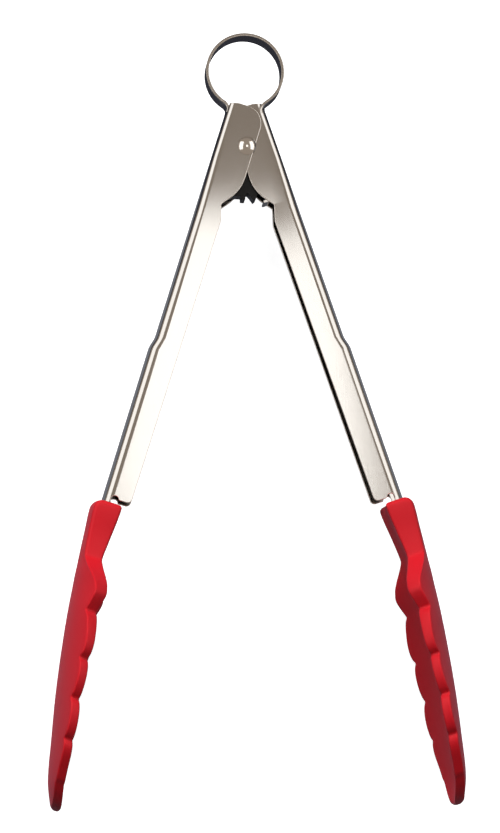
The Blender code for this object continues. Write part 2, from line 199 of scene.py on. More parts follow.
def brushed_stainless(name, angle, tone="#cac8c4", roughness=0.1, grit=0.00012):
    """Stainless strip, satin brushed: fine scratches along the arm blur what it mirrors,
    mostly across them. The scratches are drawn about twice as coarse as real ones."""
    material, tree, shader = new_material(name)
    place = add_node(tree, "ShaderNodeTexCoord")
    along = add_node(
        tree,
        "ShaderNodeMapping",
        {"Rotation": (0, 0, -angle), "Scale": (1 / grit, 1 / (grit * 120), 1 / grit)},
        {"Vector": place.outputs["Object"]},
    )
    scratches = add_node(
        tree, "ShaderNodeTexNoise", {"Scale": 1.0, "Detail": 3.0}, {"Vector": along.outputs[0]}
    )
    smears = add_node(
        tree,
        "ShaderNodeTexNoise",
        {"Scale": 90.0, "Detail": 4.0},
        {"Vector": place.outputs["Object"]},
    )
    sheen = add_node(
        tree,
        "ShaderNodeMapRange",
        {"To Min": roughness * 0.85, "To Max": roughness * 1.2},
        {"Value": smears.outputs["Fac"]},
    )
    tint = add_node(
        tree, "ShaderNodeMix", {"data_type": "RGBA"}, {"Factor": scratches.outputs["Fac"]}
    )
    tint.inputs["A"].default_value = linear(tone)
    tint.inputs["B"].default_value = [c * 0.9 for c in linear(tone)[:3]] + [1.0]
    relief = add_node(
        tree,
        "ShaderNodeBump",
        {"Strength": 0.12, "Distance": 0.00002},
        {"Height": scratches.outputs["Fac"]},
    )
    shader.inputs["Metallic"].default_value = 1.0
    tree.links.new(tint.outputs["Result"], shader.inputs["Base Color"])
    tree.links.new(sheen.outputs["Result"], shader.inputs["Roughness"])
    tree.links.new(relief.outputs["Normal"], shader.inputs["Normal"])
    return material


def sheared_and_shaded_stainless():
    """The strip's cut edge, broken by tumbling: duller than the brushed faces, and darker, partly
    as a sheared edge is and partly as painted shade standing in for the dark reflection along the
    cut edges.
    """
    material, tree, shader = new_material("sheared_and_shaded_stainless")
    place = add_node(tree, "ShaderNodeTexCoord")
    grain = add_node(
        tree, "ShaderNodeTexNoise", {"Scale": 2500.0}, {"Vector": place.outputs["Object"]}
    )
    relief = add_node(
        tree,
        "ShaderNodeBump",
        {"Strength": 0.2, "Distance": 0.00003},
        {"Height": grain.outputs["Fac"]},
    )
    shader.inputs["Base Color"].default_value = linear("#a9a6a1")
    shader.inputs["Metallic"].default_value = 1.0
    shader.inputs["Roughness"].default_value = 0.28
    tree.links.new(relief.outputs["Normal"], shader.inputs["Normal"])
    return material


def painted_highlight_stainless():
    """The broken edges from the tumbler, with a near-white base colour: a painted highlight that
    makes them the brightest part of the sheet.
    """
    material, tree, shader = new_material("edge_stainless_painted_highlight")
    place = add_node(tree, "ShaderNodeTexCoord")
    knocks = add_node(
        tree, "ShaderNodeTexNoise", {"Scale": 700.0}, {"Vector": place.outputs["Object"]}
    )
    dull = add_node(
        tree,
        "ShaderNodeMapRange",
        {"To Min": 0.38, "To Max": 0.5},
        {"Value": knocks.outputs["Fac"]},
    )
    shader.inputs["Base Color"].default_value = linear("#f2eee8")
    shader.inputs["Metallic"].default_value = 1.0
    tree.links.new(dull.outputs["Result"], shader.inputs["Roughness"])
    return material


def back_of(s):
    """The outer face of an arm's back, which steps out half way down."""
    step = smooth_step(s, STEP_START, STEP_END) * (BACK_LOWER - BACK_UPPER)
    return BACK_UPPER + step + smooth_step(s, STEP_END, FLANGE_END) * (BACK_END - BACK_LOWER)


def bend_of(s):
    return LOBE_BEND + (GRIP_BEND - LOBE_BEND) * smooth_step(s, 0.004, 0.026)


def channel_section(side, s, half):
    """The strip's U section at one station, open towards the other arm."""
    mouth = LOBE_EDGE - 0.004
    loop = []
    for inset in (0.0, SHEET):
        radius = bend_of(s) - inset
        centre_q = back_of(s) - bend_of(s)
        centre_z = half - bend_of(s)
        wall = [(mouth, half - inset)]
        wall += arc((centre_q, centre_z), radius, 90, 0, BEND_STEPS)
        wall += arc((centre_q, -centre_z), radius, 0, -90, BEND_STEPS)
        wall += [(mouth, inset - half)]
        loop += wall if inset == 0 else wall[::-1]
    return [on_arm(side, s, q, z) for q, z in loop]


def channel(side):
    stations = [LOBE_TOP - 0.002, 0.004]
    stations += [0.004 + 0.022 * k / 10 for k in range(1, 11)]
    stations += [STEP_START + (STEP_END - STEP_START) * k / 10 for k in range(11)]
    stations += [STEP_END + (FLANGE_END - STEP_END) * k / 8 for k in range(1, 9)]
    stations.append(TONGUE_END + 0.002)
    sections = []
    for s in stations:
        taper = min(max((FLANGE_END - s) / (FLANGE_END - NEST_END), 0.0), 1.0)
        nest = NEST * taper if side > 0 else 0.0
        sections.append(channel_section(side, s, CHANNEL_HALF - nest))
    return loft("channel", sections)


def arm_outline(side):
    """The strip's outline seen along the pivot: lobe, long edge, end and tongue."""
    behind = BACK_LOWER + 0.001
    corners = [
        (BEND_TOP, behind, 0),
        (LOBE_TOP, 0.0060, 0.0012),
        (LOBE_TOP, LOBE_EDGE, 0.0055),
        (0.0138, LOBE_EDGE, 0.012),
        (0.0195, 0.0021, 0.0008),
        (0.0245, 0.0006, 0.004),
        (0.03, 0.0006, 0),
        (FLANGE_END, 0.0011, 0.0015),
        (FLANGE_END, TONGUE_EDGE, 0),
        (TONGUE_END, TONGUE_EDGE, 0),
        (TONGUE_END, behind, 0),
    ]
    outline = rounded(corners, 10)
    faces = (-CUTTER_HALF, CUTTER_HALF)
    return loft("outline", [[on_arm(side, s, q, z) for s, q in outline] for z in faces])


def web_notch(side, half):
    """The cutter that ends the web lower than its bends, where the spring strip starts."""
    rings = []
    for z in (-half, half):
        corners = ((-0.02, 0.005), (-0.02, 0.014), (WEB_TOP, 0.014), (WEB_TOP, 0.005))
        rings.append([on_arm(side, s, q, z) for s, q in corners])
    return loft("notch", rings)


def cut(piece, mesh, operation, *materials):
    """Cuts a piece by another mesh, whose own material goes on the cut faces."""
    cutter = new_piece("cutter", mesh, *materials)
    boolean = piece.modifiers.new("cut", "BOOLEAN")
    boolean.operation = operation
    boolean.solver = "EXACT"
    boolean.material_mode = "TRANSFER"
    boolean.object = cutter
    apply_modifiers(piece)
    bpy.data.objects.remove(cutter)


def merge_flats(piece):
    """Joins the faces of one plane, so that the edge break runs on clean edges."""
    mesh = bmesh.new()
    mesh.from_mesh(piece.data)
    bmesh.ops.remove_doubles(mesh, verts=mesh.verts, dist=1e-6)
    bmesh.ops.dissolve_limit(
        mesh,
        angle_limit=math.radians(0.5),
        verts=mesh.verts,
        edges=mesh.edges,
        delimit={"MATERIAL"},
    )
    mesh.to_mesh(piece.data)
    mesh.free()


def hole_rod(side, s, q, radius):
    """A round cutter along the pivot's direction."""
    circle = arc((0, 0), radius, 0, 345, 23)
    rings = []
    for z in (-CUTTER_HALF, CUTTER_HALF):
        rings.append([on_arm(side, s, q, z) + Vector((x, y, 0)) for x, y in circle])
    return loft("hole", rings)


# the cut faces' darker grey is partly painted shade, standing in for the dark reflection along cut
# edges
sheared_and_shaded = sheared_and_shaded_stainless()
edge_highlight = painted_highlight_stainless()
for name, side in SIDES.items():
    brushed = brushed_stainless(f"brushed_stainless_{name}", side * ARM_ANGLE)
    arm = new_piece(f"{name}_channel", channel(side), brushed)
    cut(arm, arm_outline(side), "INTERSECT", sheared_and_shaded)
    strip_half = CHANNEL_HALF - NOTCH_INSET - (NEST if side > 0 else 0.0)
    cut(arm, web_notch(side, strip_half), "DIFFERENCE", sheared_and_shaded)
    cut(arm, hole_rod(side, RELIEF_S, RELIEF_Q, RELIEF_RADIUS), "DIFFERENCE", sheared_and_shaded)
    merge_flats(arm)
    # the edge break takes the near-white edge material: a painted highlight along every broken edge
    round_edges(arm, EDGE_BREAK, finish=edge_highlight)
    shade(arm)
    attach(arm, f"{name}_side")
    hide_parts(f"{name}_arm")


# ---- Silicone heads --------------------------------------------------------------------
# Red silicone moulded over a steel blade and the arm's tongue: a solid neck that flares
# into a scoop, whose wall ends in a scalloped rim. Each rim has a crisp outer crease.
HEAD_TOP, HEAD_TIP = 0.116, 0.2074
HEAD_CORNER, NECK_CORNER = 0.0027, 0.0014
HEAD_INNER_CORNER, TIP_CORNER = 0.0009, 0.0015
CREASE_START, CREASE_END = 0.128, 0.1375
SCALLOP_CUSPS = (0.1335, 0.1495, 0.1633, 0.1752, 0.187, 0.1994)
SCALLOP_DEPTHS = (0.0014, 0.0028, 0.0025, 0.0027, 0.002)
SCALLOP_SOFTNESS = 0.00035
SPREAD_START, SPREAD_END = 0.1335, 0.142
TIP_TAPER = 1.1
NECK_FILLET, CREASE_FILLET, INNER_FILLET = 0.0015, 0.00045, 0.0007
# distance down the arm, spine, half width at the cusps, wall, fall of the back to each side
HEAD_SHAPE = (
    (0.1160, 0.0125, 0.0084, 0.0081, 18.0),
    (0.1185, 0.0125, 0.0084, 0.0080, 20.0),
    (0.1260, 0.0119, 0.0081, 0.0068, 22.0),
    (0.1335, 0.01125, 0.0085, 0.0055, 23.5),
    (0.1360, 0.0110, 0.0106, 0.0053, 22.0),
    (0.1385, 0.0108, 0.0137, 0.0051, 21.0),
    (0.1410, 0.01055, 0.0161, 0.0049, 20.5),
    (0.1440, 0.0102, 0.0173, 0.0046, 19.2),
    (0.1495, 0.0096, 0.0168, 0.0040, 16.8),
    (0.1633, 0.0076, 0.0190, 0.0031, 13.8),
    (0.1752, 0.0055, 0.0190, 0.0030, 11.0),
    (0.1870, 0.0030, 0.0184, 0.0030, 9.5),
    (0.1994, 0.0002, 0.0137, 0.0030, 11.0),
    (0.2074, -0.0031, 0.0137, 0.0030, 16.0),
)


def along(table, s, column):
    """A smooth line through one column of a table of stations, with no overshoot."""
    last = len(table) - 1
    k = max(i for i in range(last) if i == 0 or table[i][0] <= s)

    def rise(i):
        return (table[i + 1][column] - table[i][column]) / (table[i + 1][0] - table[i][0])

    def slope(i):
        if i == 0 or i == last:
            return rise(min(i, last - 1))
        before, after = rise(i - 1), rise(i)
        return 0.0 if before * after <= 0 else 2 * before * after / (before + after)

    span = table[k + 1][0] - table[k][0]
    t = min(max((s - table[k][0]) / span, 0.0), 1.0)
    low, high = table[k][column], table[k + 1][column]
    return (
        low * (1 + 2 * t) * (1 - t) ** 2
        + high * t * t * (3 - 2 * t)
        + slope(k) * span * t * (1 - t) ** 2
        - slope(k + 1) * span * t * t * (1 - t)
    )


def rim_width(s):
    """Half the head's width: the line through the cusps, the scallops and the round tip."""
    width = along(HEAD_SHAPE, s, 2)
    for start, end, depth in zip(SCALLOP_CUSPS, SCALLOP_CUSPS[1:], SCALLOP_DEPTHS):
        if start < s < end:
            t = (s - start) / (end - start)
            width += depth * math.sqrt(4 * t * (1 - t))
    t = (s - SCALLOP_CUSPS[-1]) / (HEAD_TIP - SCALLOP_CUSPS[-1])
    return width * math.sqrt(max(1 - max(t, 0.0) ** TIP_TAPER, 0.0))


def quarter_round(distance, radius):
    """How far a rounded corner has fallen at a distance from its end."""
    short = radius - min(distance, radius)
    return radius - math.sqrt(radius * radius - short * short)


def head_section(side, s, across=26, fillet_steps=5):
    """The silicone's section: back, crease, rim, inner face, and round the other way."""
    soft = [rim_width(s + SCALLOP_SOFTNESS * k / 2) for k in range(-2, 3)]
    half = sum(soft) / 5 - quarter_round(s - HEAD_TOP, NECK_CORNER)
    spine = along(HEAD_SHAPE, s, 1) - quarter_round(s - HEAD_TOP, HEAD_CORNER)
    wall = along(HEAD_SHAPE, s, 3) - quarter_round(s - HEAD_TOP, HEAD_CORNER)
    wall -= quarter_round(s - HEAD_TOP, HEAD_INNER_CORNER)
    tip_round = quarter_round(HEAD_TIP - s, TIP_CORNER)
    spine -= tip_round
    wall -= 2 * tip_round
    fall = along(HEAD_SHAPE, s, 4)
    spread = smooth_step(s, SPREAD_START, SPREAD_END)
    outer = NECK_FILLET + (CREASE_FILLET - NECK_FILLET) * smooth_step(s, CREASE_START, CREASE_END)
    outer = min(outer, wall * 0.45, half * 0.4)
    inner = min(INNER_FILLET, wall * 0.45, half * 0.4)

    def frame_at(z):
        """The back's point at a height, and the directions into the wall and out to its rim."""
        slope = math.atan(2 * fall * z) * spread
        into = Vector((-math.cos(slope), -math.sin(slope)))
        out = Vector((-math.sin(slope), math.cos(slope)))
        return Vector((spine - fall * z * z, z)), into, out

    upper = []
    point, into, out = frame_at(half - outer)
    for k in range(1, fillet_steps + 1):
        angle = math.radians(90 * k / fillet_steps)
        across_wall = outer - outer * math.cos(angle)
        upper.append(point + into * across_wall + out * outer * math.sin(angle))
    point, into, out = frame_at(half - inner)
    for k in range(fillet_steps):
        angle = math.radians(90 * k / fillet_steps)
        across_wall = wall - inner + inner * math.sin(angle)
        upper.append(point + into * across_wall + out * inner * math.cos(angle))
    loop = []
    for k in range(across + 1):
        loop.append(frame_at((half - outer) * (2 * k / across - 1))[0])
    loop += upper
    for k in range(across + 1):
        point, into, out = frame_at((half - inner) * (1 - 2 * k / across))
        loop.append(point + into * wall)
    loop += [Vector((q, -z)) for q, z in upper[::-1]]
    return [on_arm(side, s, q, z) for q, z in loop]


def silicone_head(side):
    stations = [HEAD_TOP + d for d in (0.00005, 0.0002, 0.0005, 0.0009, 0.0014, 0.002, 0.0027)]
    steps = 172
    first, last = stations[-1] + 0.0005, HEAD_TIP - 0.0018
    stations += [first + (last - first) * k / steps for k in range(steps + 1)]
    stations += [HEAD_TIP - d for d in (0.0015, 0.0012, 0.0009, 0.0006, 0.0004, 0.0002, 0.0001)]
    return loft("head", [head_section(side, s) for s in stations])


def moulded_silicone():
    """Silicone from a sandblasted mould: an even deep red, matt, with a milky sheen where
    light grazes it. The mould's grain is drawn about twice as coarse as real."""
    material, tree, shader = new_material("moulded_red_silicone")
    place = add_node(tree, "ShaderNodeTexCoord")
    point = {"Vector": place.outputs["Object"]}
    clouds = add_node(tree, "ShaderNodeTexNoise", {"Scale": 70.0, "Detail": 3.0}, point)
    grain = add_node(tree, "ShaderNodeTexNoise", {"Scale": 3200.0, "Detail": 2.0}, point)
    tone = add_node(tree, "ShaderNodeMix", {"data_type": "RGBA"}, {"Factor": clouds.outputs["Fac"]})
    tone.inputs["A"].default_value = linear("#c81722")
    tone.inputs["B"].default_value = linear("#d01d28")
    matt = add_node(
        tree, "ShaderNodeMapRange", {"To Min": 0.4, "To Max": 0.5}, {"Value": clouds.outputs["Fac"]}
    )
    relief = add_node(
        tree,
        "ShaderNodeBump",
        {"Strength": 0.15, "Distance": 0.00003},
        {"Height": grain.outputs["Fac"]},
    )
    shader.inputs["IOR"].default_value = 1.41
    shader.inputs["Specular IOR Level"].default_value = 0.3
    shader.inputs["Sheen Weight"].default_value = 0.08
    shader.inputs["Sheen Roughness"].default_value = 0.4
    shader.inputs["Sheen Tint"].default_value = linear("#e8b0d8")
    tree.links.new(tone.outputs["Result"], shader.inputs["Base Color"])
    tree.links.new(matt.outputs["Result"], shader.inputs["Roughness"])
    tree.links.new(relief.outputs["Normal"], shader.inputs["Normal"])
    return material


silicone = moulded_silicone()
for name, side in SIDES.items():
    head = new_piece(f"{name}_silicone_head", silicone_head(side), silicone)
    head.data.shade_smooth()
    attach(head, f"{name}_side")
    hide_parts(f"{name}_head")


# ---- Spring ring -----------------------------------------------------------------------
# A strip of hard spring steel rolled into a loop, which runs on from the arms' backs. It
# pushes the arms open and is what the tongs hang by. Bright, with slit and tumbled edges.
RING_RADIUS, RING_CENTRE = 0.01145, 0.0233
RING_STRIP, RING_WIDTH = 0.0009, 0.0078
RING_NECK = 0.0025
FOOT_LAP, RING_EDGE = 0.0002, 0.00022


def ring_paths():
    """The strip's middle line in two lengths: the right foot up to the loop's right side,
    and from there over the top and down to the left foot."""
    middle = BACK_UPPER - SHEET / 2
    sine, cosine = math.sin(ARM_ANGLE), math.cos(ARM_ANGLE)
    reach = middle + RING_NECK
    a = 1 + (sine / cosine) ** 2
    b = -2 * (reach * sine / cosine**2 + RING_CENTRE)
    c = (reach / cosine) ** 2 + RING_CENTRE**2 - (RING_RADIUS + RING_NECK) ** 2
    neck_y = (-b - math.sqrt(b * b - 4 * a * c)) / (2 * a)
    neck_x = (reach - sine * neck_y) / cosine
    towards_ring = math.degrees(math.atan2(RING_CENTRE - neck_y, -neck_x))
    neck = arc((neck_x, neck_y), RING_NECK, 180 + math.degrees(ARM_ANGLE), towards_ring, 14)
    rise = arc((0, RING_CENTRE), RING_RADIUS, towards_ring - 180, 0, 26)
    over = arc((0, RING_CENTRE), RING_RADIUS, 0, 90, 40)
    foot = on_arm(1, WEB_TOP + FOOT_LAP, middle) - pivot
    right = [(foot.x, foot.y)] + neck + rise[1:]
    left = over + [(-x, y) for x, y in (right + over[1:])[-2::-1]]
    return {"right": right, "left": left}


def rolled_strip_tree():
    """Geometry Nodes: a strip with rounded edges along a path that lies flat."""
    tree = bpy.data.node_groups.new("rolled_strip", "GeometryNodeTree")
    sockets = {
        "Path": "Geometry",
        "Thickness": "Float",
        "Width": "Float",
        "Edge": "Float",
        "Finish": "Material",
    }
    for label, kind in sockets.items():
        tree.interface.new_socket(label, in_out="INPUT", socket_type=f"NodeSocket{kind}")
    tree.interface.new_socket("Strip", in_out="OUTPUT", socket_type="NodeSocketGeometry")
    given = add_node(tree, "NodeGroupInput")
    path = add_node(tree, "GeometryNodeMeshToCurve", (), {"Mesh": given.outputs["Path"]})
    level = add_node(
        tree, "GeometryNodeSetCurveNormal", {"mode": "Z_UP"}, {"Curve": path.outputs[0]}
    )
    slab = add_node(
        tree,
        "GeometryNodeCurvePrimitiveQuadrilateral",
        (),
        {"Width": given.outputs["Thickness"], "Height": given.outputs["Width"]},
    )
    broken = add_node(
        tree,
        "GeometryNodeFilletCurve",
        {"mode": "POLY", "Count": 3},
        {"Curve": slab.outputs[0], "Radius": given.outputs["Edge"]},
    )
    finer = add_node(tree, "GeometryNodeSubdivideCurve", {"Cuts": 5}, {"Curve": broken.outputs[0]})
    strip = add_node(
        tree,
        "GeometryNodeCurveToMesh",
        {"Fill Caps": True},
        {"Curve": level.outputs[0], "Profile Curve": finer.outputs[0]},
    )
    real = add_node(tree, "GeometryNodeRealizeInstances", (), {"Geometry": strip.outputs[0]})
    finish = add_node(
        tree,
        "GeometryNodeSetMaterial",
        (),
        {"Geometry": real.outputs[0], "Material": given.outputs["Finish"]},
    )
    made = add_node(tree, "NodeGroupOutput")
    tree.links.new(finish.outputs[0], made.inputs["Strip"])
    return tree


def grow(piece, tree, values):
    """Runs a Geometry Nodes tree on a piece with its inputs set, and keeps the mesh."""
    modifier = piece.modifiers.new(tree.name, "NODES")
    modifier.node_group = tree
    for item in tree.interface.items_tree:
        if item.item_type == "SOCKET" and item.in_out == "INPUT" and item.name in values:
            modifier[item.identifier] = values[item.name]
    apply_modifiers(piece)


def rolled_spring_steel():
    """Hard rolled strip: a bright, slightly cool mirror with faint lines round the loop."""
    material, tree, shader = new_material("rolled_spring_steel")
    place = add_node(tree, "ShaderNodeTexCoord")
    lengthwise = add_node(
        tree,
        "ShaderNodeMapping",
        {"Scale": (300.0, 300.0, 9000.0)},
        {"Vector": place.outputs["Object"]},
    )
    lines = add_node(
        tree,
        "ShaderNodeTexNoise",
        {"Scale": 1.0, "Detail": 2.0},
        {"Vector": lengthwise.outputs[0]},
    )
    dull = add_node(
        tree,
        "ShaderNodeMapRange",
        {"To Min": 0.16, "To Max": 0.26},
        {"Value": lines.outputs["Fac"]},
    )
    relief = add_node(
        tree,
        "ShaderNodeBump",
        {"Strength": 0.08, "Distance": 0.00002},
        {"Height": lines.outputs["Fac"]},
    )
    shader.inputs["Base Color"].default_value = linear("#c4c0ba")
    shader.inputs["Metallic"].default_value = 1.0
    tree.links.new(dull.outputs["Result"], shader.inputs["Roughness"])
    tree.links.new(relief.outputs["Normal"], shader.inputs["Normal"])
    return material


def press_feet(mesh):
    """Curls the strip's sides down at its feet, to run on into the bends of the channels."""
    for vert in mesh.vertices:
        side = 1 if vert.co.x > pivot.x else -1
        turn = Matrix.Rotation(-side * ARM_ANGLE, 3, "Z")
        local = turn @ (vert.co - pivot)
        fade = smooth_step(-local.y, WEB_TOP - 0.0042, WEB_TOP - 0.0002)
        half = CHANNEL_HALF - (NEST if side > 0 else 0.0)
        past = min(max(abs(local.z) - (half - LOBE_BEND), 0.0), LOBE_BEND * 0.995)
        drop = LOBE_BEND - math.sqrt(LOBE_BEND**2 - past**2)
        local.x -= side * drop * fade
        vert.co = pivot + turn.inverted() @ local


spring_steel = rolled_spring_steel()
strip_tree = rolled_strip_tree()
for name, path in ring_paths().items():
    guide = bpy.data.meshes.new("path")
    points = [pivot + Vector((x, y, 0)) for x, y in path]
    guide.from_pydata(points, [(i, i + 1) for i in range(len(points) - 1)], [])
    strip = new_piece(f"spring_ring_{name}", guide)
    sizes = {"Thickness": RING_STRIP, "Width": RING_WIDTH, "Edge": RING_EDGE}
    grow(strip, strip_tree, {**sizes, "Finish": spring_steel})
    press_feet(strip.data)
    skin = bmesh.new()
    skin.from_mesh(strip.data)
    bmesh.ops.remove_doubles(skin, verts=skin.verts, dist=1e-7)
    bmesh.ops.recalc_face_normals(skin, faces=skin.faces)
    skin.to_mesh(strip.data)
    skin.free()
    shade(strip, 50)
    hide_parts("spring_ring")
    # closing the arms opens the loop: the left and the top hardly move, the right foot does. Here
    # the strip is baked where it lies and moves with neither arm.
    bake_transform(strip)


# ---- Pivot rivet and spacer ------------------------------------------------------------
# One steel rivet through all four flanges: a polished dome in front, a peened tail behind,
# and round its shank a cut length of tube that keeps the flanges apart.
RIVET_RADIUS, RIVET_HEAD, RIVET_DOME = 0.0014, 0.0028, 0.0013
RIVET_TAIL, RIVET_TAIL_HEIGHT = 0.0024, 0.0009
RIVET_FACE = CHANNEL_HALF + 0.00008


def turned(name, profile, steps=64):
    """A solid turned about the pivot's line, from (radius, height) points."""
    rings = []
    for radius, height in profile:
        circle = arc((0, 0), radius, 0, 360 - 360 / steps, steps - 1)
        rings.append([pivot + Vector((x, y, height)) for x, y in circle])
    return loft(name, rings)


def rivet_profile():
    ball = (RIVET_HEAD**2 + RIVET_DOME**2) / (2 * RIVET_DOME)
    sweep = math.asin(RIVET_HEAD / ball)
    middle = RIVET_FACE + RIVET_DOME - ball
    points = []
    for k in range(25):
        angle = max(sweep * k / 24, 0.004)
        points.append((ball * math.sin(angle), middle + ball * math.cos(angle)))
    points.append((RIVET_HEAD - 0.00008, RIVET_FACE))
    points.append((RIVET_RADIUS, RIVET_FACE))
    points.append((RIVET_RADIUS, -RIVET_FACE))
    points.append((RIVET_TAIL - 0.00015, -RIVET_FACE))
    for k in range(7):
        angle = math.radians(90 * k / 6)
        reach = RIVET_TAIL - 0.0006 * (1 - math.cos(angle))
        bulge = (RIVET_TAIL_HEIGHT - 0.0001) * math.sin(angle)
        points.append((reach, -RIVET_FACE - 0.0001 - bulge))
    points.append((0.00002, -RIVET_FACE - RIVET_TAIL_HEIGHT))
    return points


def polished_steel():
    """A nickel-bright rivet head: nearly a mirror, with the faint haze of a barrel polish."""
    material, tree, shader = new_material("barrel_polished_steel")
    place = add_node(tree, "ShaderNodeTexCoord")
    haze = add_node(
        tree,
        "ShaderNodeTexNoise",
        {"Scale": 900.0, "Detail": 3.0},
        {"Vector": place.outputs["Object"]},
    )
    dull = add_node(
        tree,
        "ShaderNodeMapRange",
        {"To Min": 0.1, "To Max": 0.2},
        {"Value": haze.outputs["Fac"]},
    )
    shader.inputs["Base Color"].default_value = linear("#dedbd6")
    shader.inputs["Metallic"].default_value = 1.0
    tree.links.new(dull.outputs["Result"], shader.inputs["Roughness"])
    return material


polished = polished_steel()
rivet = new_piece("rivet", turned("rivet", rivet_profile()), polished)
shade(rivet, 40)
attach(rivet, "left_side")
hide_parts("pivot_rivet")

tube_half = CHANNEL_HALF - NEST - SHEET - 0.0003
TUBE_OUTER, TUBE_INNER, TUBE_CHAMFER = 0.0027, 0.0017, 0.00015
tube_profile = [
    (TUBE_INNER, tube_half - TUBE_CHAMFER),
    (TUBE_INNER + TUBE_CHAMFER, tube_half),
    (TUBE_OUTER - TUBE_CHAMFER, tube_half),
    (TUBE_OUTER, tube_half - TUBE_CHAMFER),
    (TUBE_OUTER, TUBE_CHAMFER - tube_half),
    (TUBE_OUTER - TUBE_CHAMFER, -tube_half),
    (TUBE_INNER + TUBE_CHAMFER, -tube_half),
    (TUBE_INNER, TUBE_CHAMFER - tube_half),
]


def hollow(name, profile, steps=48):
    """A ring turned about the pivot's line, from a closed outline of (radius, height)."""
    rings = []
    for k in range(steps):
        angle = 2 * math.pi * k / steps
        x, y = math.cos(angle), math.sin(angle)
        rings.append([pivot + Vector((r * x, r * y, h)) for r, h in profile])
    skin = bmesh.new()
    loops = [[skin.verts.new(point) for point in ring] for ring in rings]
    for k, ring in enumerate(loops):
        following = loops[(k + 1) % steps]
        for i in range(len(profile)):
            m = (i + 1) % len(profile)
            skin.faces.new((ring[i], ring[m], following[m], following[i]))
    bmesh.ops.recalc_face_normals(skin, faces=skin.faces)
    mesh = bpy.data.meshes.new(name)
    skin.to_mesh(mesh)
    skin.free()
    return mesh


spacer = new_piece("spacer_tube", hollow("spacer_tube", tube_profile), sheared_and_shaded)
shade(spacer, 40)
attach(spacer, "left_side")
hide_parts("pivot_spacer")


# ---- Lock ------------------------------------------------------------------------------
# A moulded black pawl turns on a steel cross pin in the left arm, between two washers, and
# is meant to drop behind a strip that bridges the right arm's flanges. Its upper part only
# fills the mouth between the lobes.
PAWL_AXIS = on_arm(-1, 0.01616, 0.00379)
PAWL_LIFT = math.radians(17.0)
PAWL_HALF, PAWL_BORE, PAWL_BREAK = 0.0026, 0.0011, 0.0003
PAWL_CORNERS = (
    (0.0021, -0.0004, 0.0012),
    (0.0021, 0.0011, 0.0012),
    (0.0012, 0.0021, 0.0015),
    (-0.0012, 0.0021, 0.0015),
    (-0.0021, 0.0005, 0.001),
    (-0.0023, -0.0036, 0.0006),
    (-0.0047, -0.0055, 0.001),
    (-0.0071, -0.0067, 0.001),
    (-0.0072, -0.0103, 0.001),
    (-0.0049, -0.0115, 0.001),
    (0.0, -0.0118, 0.0012),
    (0.0016, -0.0112, 0.0004),
    (0.0021, -0.0106, 0.0002),
    (0.0006, -0.0095, 0.0004),
    (-0.0003, -0.0086, 0.0001),
    (0.0011, -0.0081, 0.0003),
    (0.0019, -0.008, 0.0003),
    (0.0018, -0.00674, 0.0002),
    (0.0007, -0.00674, 0.0002),
    (0.0007, -0.0022, 0.001),
)
CATCH_S, CATCH_Q = (0.0173, 0.018), (-0.00055, 0.0018)


def pawl_mesh():
    turn = Matrix.Rotation(-ARM_ANGLE + PAWL_LIFT, 3, "Z")
    rings = []
    for z in (-PAWL_HALF, PAWL_HALF):
        rings.append([PAWL_AXIS + turn @ Vector((-q, -s, z)) for s, q in rounded(PAWL_CORNERS, 6)])
    return loft("pawl", rings)


def moulded_black_and_shade():
    """Acetal, injection moulded: near black, satin, with a slight orange peel. The near-black tone
    is partly painted shade, copied from the dark mouth between the lobes.
    """
    material, tree, shader = new_material("moulded_black_acetal_and_shade")
    place = add_node(tree, "ShaderNodeTexCoord")
    peel = add_node(
        tree, "ShaderNodeTexNoise", {"Scale": 1400.0}, {"Vector": place.outputs["Object"]}
    )
    matt = add_node(
        tree,
        "ShaderNodeMapRange",
        {"To Min": 0.28, "To Max": 0.4},
        {"Value": peel.outputs["Fac"]},
    )
    relief = add_node(
        tree,
        "ShaderNodeBump",
        {"Strength": 0.1, "Distance": 0.00005},
        {"Height": peel.outputs["Fac"]},
    )
    shader.inputs["Base Color"].default_value = linear("#0c0c0c")
    shader.inputs["Specular IOR Level"].default_value = 0.25
    shader.inputs["IOR"].default_value = 1.48
    tree.links.new(matt.outputs["Result"], shader.inputs["Roughness"])
    tree.links.new(relief.outputs["Normal"], shader.inputs["Normal"])
    return material


# the pawl's near-black is partly painted shade from the dark mouth it sits in
black_and_shade = moulded_black_and_shade()
pawl = new_piece("pawl", pawl_mesh(), black_and_shade)
bore_circle = arc((0, 0), PAWL_BORE, 0, 345, 23)
bore_rings = []
for z in (-CUTTER_HALF, CUTTER_HALF):
    bore_rings.append([PAWL_AXIS + Vector((x, y, z)) for x, y in bore_circle])
cut(pawl, loft("bore", bore_rings), "DIFFERENCE", black_and_shade)
merge_flats(pawl)
round_edges(pawl, PAWL_BREAK, 4)
shade(pawl)
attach(pawl, "pawl")
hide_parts("lock_pawl")

catch_half = CHANNEL_HALF - NEST - SHEET / 2
corners = [(CATCH_S[i], CATCH_Q[j], 0.00025) for i, j in ((0, 0), (0, 1), (1, 1), (1, 0))]
catch_rings = []
for z in (-catch_half, catch_half):
    catch_rings.append([on_arm(1, s, q, z) for s, q in rounded(corners, 4)])
catch = new_piece("catch_strip", loft("catch_strip", catch_rings), polished)
shade(catch, 40)
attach(catch, "right_side")

for node in ("pawl_pin", "pawl_washer_front", "pawl_washer_rear"):
    frame["nodes"][node].material_slots[0].material = polished


